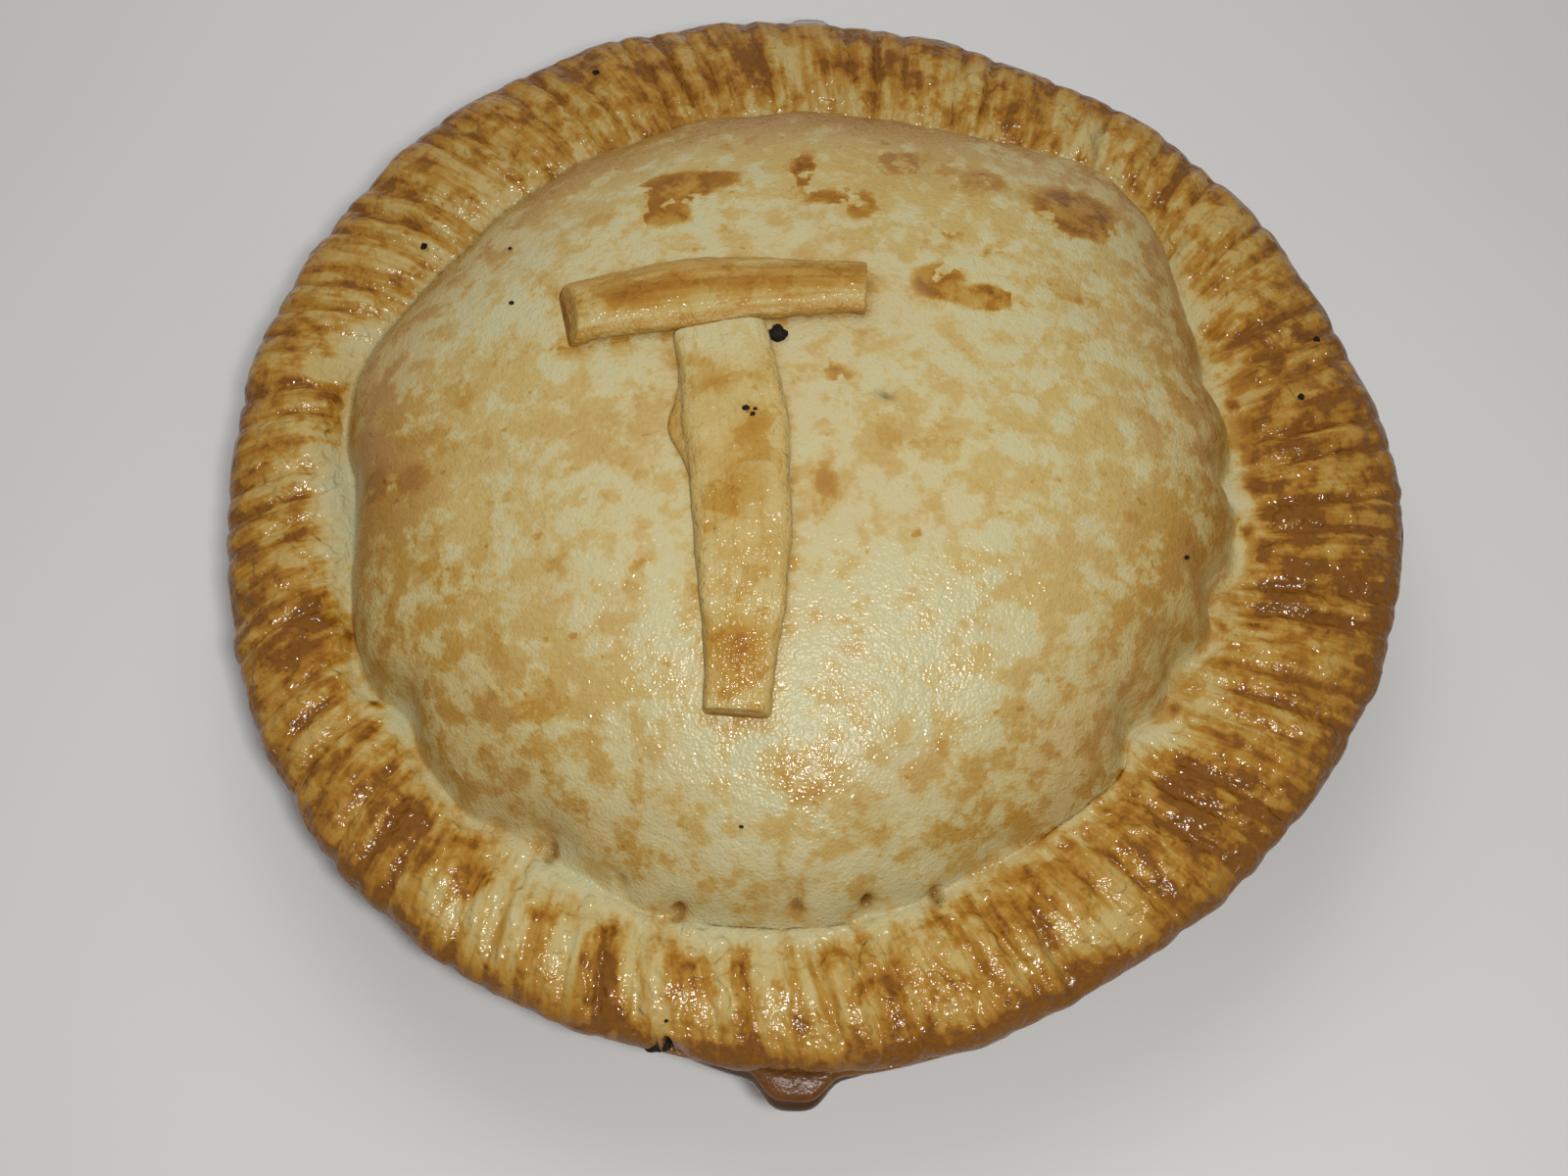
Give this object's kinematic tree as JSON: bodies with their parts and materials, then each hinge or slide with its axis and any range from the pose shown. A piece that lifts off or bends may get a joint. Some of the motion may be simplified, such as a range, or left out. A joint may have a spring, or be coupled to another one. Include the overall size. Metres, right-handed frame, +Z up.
{
  "type": "turkey pot pie in a glass pie plate",
  "caption": "Uncut domed pot pie with a fork-crimped golden rim and pastry strips on its lid, baked in a round clear glass pie plate with small handles.",
  "frame": {"origin": "on the table under the centre of the pie plate's flat base", "axes": "+Z up; +X to the right and -Y towards the viewer in the picture, where one handle of the plate is"},
  "size_m": [0.2531, 0.2658, 0.0864],
  "materials": {
    "clear_glass": "clear pressed oven glass, smooth and glossy",
    "baked_crust": null,
    "strip_pastry": null
  },
  "bodies": {
    "root": {"dish": "clear_glass", "pie": "baked_crust", "crossbar_strip": "strip_pastry", "upright_strip": "strip_pastry"}
  },
  "joints": []
}
